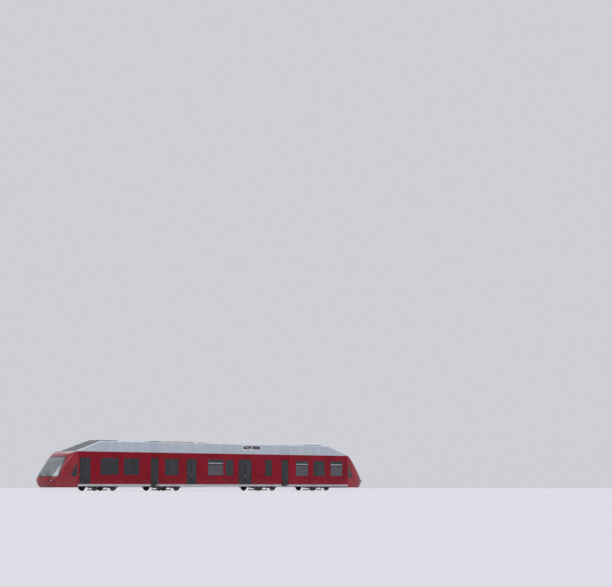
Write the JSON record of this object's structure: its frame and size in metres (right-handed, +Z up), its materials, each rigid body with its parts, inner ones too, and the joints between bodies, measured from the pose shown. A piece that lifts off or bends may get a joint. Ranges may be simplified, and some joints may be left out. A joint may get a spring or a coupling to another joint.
{
  "type": "articulated passenger tram",
  "caption": "Red articulated low-floor passenger tram with pale roof fairings, dark glazed doors, raked ends, bogies that yaw and a folded roof current collector.",
  "frame": {"origin": "middle of the vehicle's length and width, on the plane its wheel flanges stand on", "axes": "+X towards the rear end (the picture's left end is -X), +Y to the far side, +Z up"},
  "size_m": [32.5, 2.5, 3.63],
  "materials": {
    "red_paint": "gloss",
    "fairing_paint": "satin",
    "sill_paint": "satin",
    "roof_metal": "satin",
    "door_paint": "gloss",
    "tinted_glass": "gloss",
    "lamp_glass": "gloss",
    "grille_metal": "satin",
    "bellows_fabric": "matte",
    "seat_fabric": "matte",
    "cab_plastic": "matte",
    "wheel_steel": "worn",
    "frame_paint": "matte",
    "arm_paint": "satin"
  },
  "bodies": {
    "middle_section": {"underframe_middle": "sill_paint", "side_wall_middle_near": "red_paint", "side_wall_middle_far": "red_paint", "glazing_middle_near": "tinted_glass", "glazing_middle_far": "tinted_glass", "door_2_near": "door_paint", "door_3_near": "door_paint", "door_4_far": "door_paint", "door_5_far": "door_paint", "roof_panel_middle": "roof_metal", "roof_fairing_middle": "fairing_paint", "cooling_unit": "grille_metal", "bellows_front_inner": "bellows_fabric", "bellows_rear_inner": "bellows_fabric", "seats_2": "seat_fabric", "seats_3": "seat_fabric", "pantograph_base": "arm_paint"},
    "front_section": {"underframe_front": "sill_paint", "side_wall_front_near": "red_paint", "side_wall_front_far": "red_paint", "glazing_front_near": "tinted_glass", "glazing_front_far": "tinted_glass", "door_1_near": "door_paint", "roof_panel_front": "roof_metal", "roof_fairing_front": "fairing_paint", "nose_front": "red_paint", "windscreen_front": "tinted_glass", "headlamps_front": "lamp_glass", "cab_fitting_front": "cab_plastic", "bellows_front_outer": "bellows_fabric", "seats_1": "seat_fabric"},
    "rear_section": {"underframe_rear": "sill_paint", "side_wall_rear_near": "red_paint", "side_wall_rear_far": "red_paint", "glazing_rear_near": "tinted_glass", "glazing_rear_far": "tinted_glass", "door_6_far": "door_paint", "roof_panel_rear": "roof_metal", "roof_fairing_rear": "fairing_paint", "nose_rear": "red_paint", "windscreen_rear": "tinted_glass", "headlamps_rear": "lamp_glass", "cab_fitting_rear": "cab_plastic", "bellows_rear_outer": "bellows_fabric", "seats_4": "seat_fabric"},
    "bogie_1": {"bogie_frame_1": "frame_paint"},
    "bogie_2": {"bogie_frame_2": "frame_paint"},
    "bogie_3": {"bogie_frame_3": "frame_paint"},
    "bogie_4": {"bogie_frame_4": "frame_paint"},
    "axle_1": {"wheelset_1": "wheel_steel"},
    "axle_2": {"wheelset_2": "wheel_steel"},
    "axle_3": {"wheelset_3": "wheel_steel"},
    "axle_4": {"wheelset_4": "wheel_steel"},
    "axle_5": {"wheelset_5": "wheel_steel"},
    "axle_6": {"wheelset_6": "wheel_steel"},
    "axle_7": {"wheelset_7": "wheel_steel"},
    "axle_8": {"wheelset_8": "wheel_steel"},
    "pantograph_lower": {"pantograph_lower_arm": "arm_paint"},
    "pantograph_upper": {"pantograph_upper_arm": "arm_paint"},
    "collector_head": {"pantograph_head": "arm_paint"}
  },
  "joints": [
    {"name": "articulation_front", "type": "hinge", "parent": "middle_section", "child": "front_section", "pos_m": [-6.8, 0, 0.38], "axis": [0, 0, 1], "range_deg": [-22, 22]},
    {"name": "articulation_rear", "type": "hinge", "parent": "middle_section", "child": "rear_section", "pos_m": [6.8, 0, 0.38], "axis": [0, 0, 1], "range_deg": [-22, 22]},
    {"name": "bogie_1_yaw", "type": "hinge", "parent": "front_section", "child": "bogie_1", "pos_m": [-11.2, 0, 0.45], "axis": [0, 0, 1], "range_deg": [-5, 5]},
    {"name": "bogie_2_yaw", "type": "hinge", "parent": "middle_section", "child": "bogie_2", "pos_m": [-5.05, 0, 0.45], "axis": [0, 0, 1], "range_deg": [-5, 5]},
    {"name": "bogie_3_yaw", "type": "hinge", "parent": "middle_section", "child": "bogie_3", "pos_m": [5.05, 0, 0.45], "axis": [0, 0, 1], "range_deg": [-5, 5]},
    {"name": "bogie_4_yaw", "type": "hinge", "parent": "rear_section", "child": "bogie_4", "pos_m": [11.2, 0, 0.45], "axis": [0, 0, 1], "range_deg": [-5, 5]},
    {"name": "axle_1_spin", "type": "hinge", "parent": "bogie_1", "child": "axle_1", "pos_m": [-12.05, 0, 0.326], "axis": [0, 1, 0], "continuous": true},
    {"name": "axle_2_spin", "type": "hinge", "parent": "bogie_1", "child": "axle_2", "pos_m": [-10.35, 0, 0.326], "axis": [0, 1, 0], "continuous": true},
    {"name": "axle_3_spin", "type": "hinge", "parent": "bogie_2", "child": "axle_3", "pos_m": [-5.9, 0, 0.326], "axis": [0, 1, 0], "continuous": true},
    {"name": "axle_4_spin", "type": "hinge", "parent": "bogie_2", "child": "axle_4", "pos_m": [-4.2, 0, 0.326], "axis": [0, 1, 0], "continuous": true},
    {"name": "axle_5_spin", "type": "hinge", "parent": "bogie_3", "child": "axle_5", "pos_m": [4.2, 0, 0.326], "axis": [0, 1, 0], "continuous": true},
    {"name": "axle_6_spin", "type": "hinge", "parent": "bogie_3", "child": "axle_6", "pos_m": [5.9, 0, 0.326], "axis": [0, 1, 0], "continuous": true},
    {"name": "axle_7_spin", "type": "hinge", "parent": "bogie_4", "child": "axle_7", "pos_m": [10.35, 0, 0.326], "axis": [0, 1, 0], "continuous": true},
    {"name": "axle_8_spin", "type": "hinge", "parent": "bogie_4", "child": "axle_8", "pos_m": [12.05, 0, 0.326], "axis": [0, 1, 0], "continuous": true},
    {"name": "pantograph_lower_lift", "type": "hinge", "parent": "middle_section", "child": "pantograph_lower", "pos_m": [1.5, 0, 3.1], "axis": [0, 1, 0], "range_deg": [0, 50]},
    {"name": "pantograph_upper_lift", "type": "hinge", "parent": "pantograph_lower", "child": "pantograph_upper", "pos_m": [0.06, 0, 3.18], "axis": [0, 1, 0], "range_deg": [-95, 0]},
    {"name": "collector_head_level", "type": "hinge", "parent": "pantograph_upper", "child": "collector_head", "pos_m": [1.4, 0, 3.44], "axis": [0, 1, 0], "range_deg": [0, 45]}
  ],
  "couplings": [
    {"joint": "pantograph_upper_lift", "follows": "pantograph_lower_lift", "ratio": -1.9},
    {"joint": "collector_head_level", "follows": "pantograph_lower_lift", "ratio": 0.9}
  ]
}
